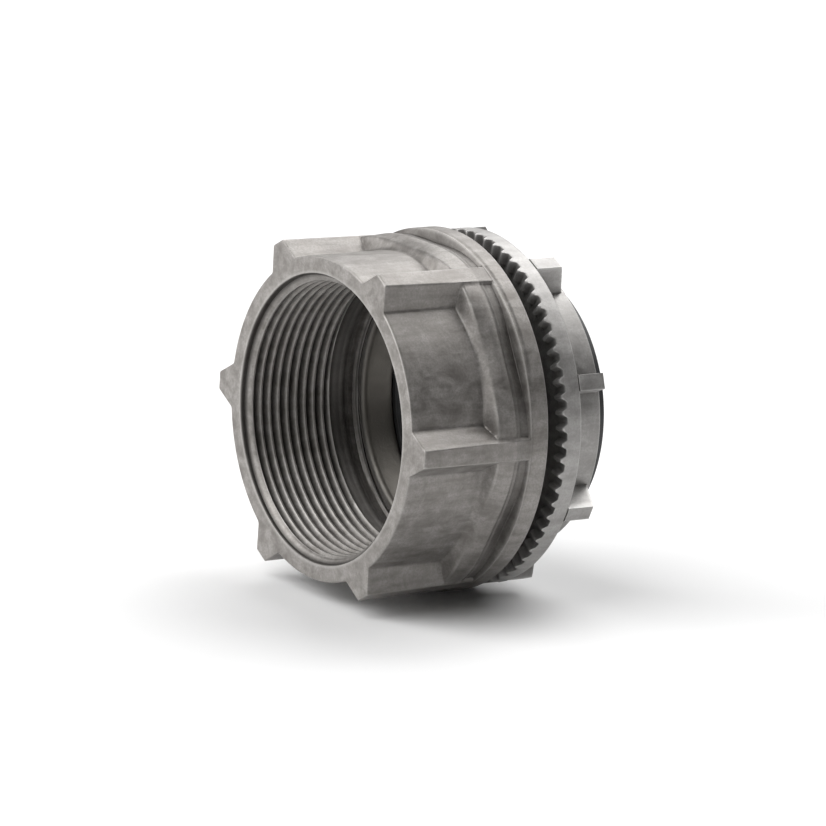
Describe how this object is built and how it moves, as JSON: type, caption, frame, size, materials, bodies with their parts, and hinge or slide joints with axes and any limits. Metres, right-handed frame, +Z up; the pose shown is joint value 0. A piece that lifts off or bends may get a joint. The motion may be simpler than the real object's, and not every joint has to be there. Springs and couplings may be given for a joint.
{
  "type": "threaded conduit hub",
  "caption": "Watertight hub that joins a threaded conduit to an enclosure wall: ribbed body with a tapered female thread, sealing ring, toothed lock nipple and throat liner.",
  "frame": {"origin": "centre of the bounding box, on the hub's axis, halfway along its length", "axes": "+Y along the hub's axis from the conduit mouth towards the lock nipple, +X through the tip of one rib, +Z up"},
  "size_m": [0.1144, 0.0782, 0.1124],
  "materials": {
    "cast_zinc": "matte",
    "wheel_zinc": "satin",
    "black_rubber": "matte",
    "dark_nylon": "satin"
  },
  "bodies": {
    "hub": {"hub_body": "cast_zinc", "sealing_ring": "black_rubber"},
    "liner": {"throat_liner": "dark_nylon"},
    "nipple": {"lock_nipple": "wheel_zinc"}
  },
  "joints": [
    {"name": "nipple_travel", "type": "slide", "parent": "hub", "child": "liner", "axis": [0, 1, 0], "range_m": [-0.0027, 0.0016]},
    {"name": "nipple_turn", "type": "hinge", "parent": "liner", "child": "nipple", "pos_m": [0, 0, 0], "axis": [0, 1, 0], "range_deg": [-305, 180]}
  ],
  "couplings": [
    {"joint": "nipple_travel", "follows": "nipple_turn", "m_per_rad": 0.00050532}
  ]
}
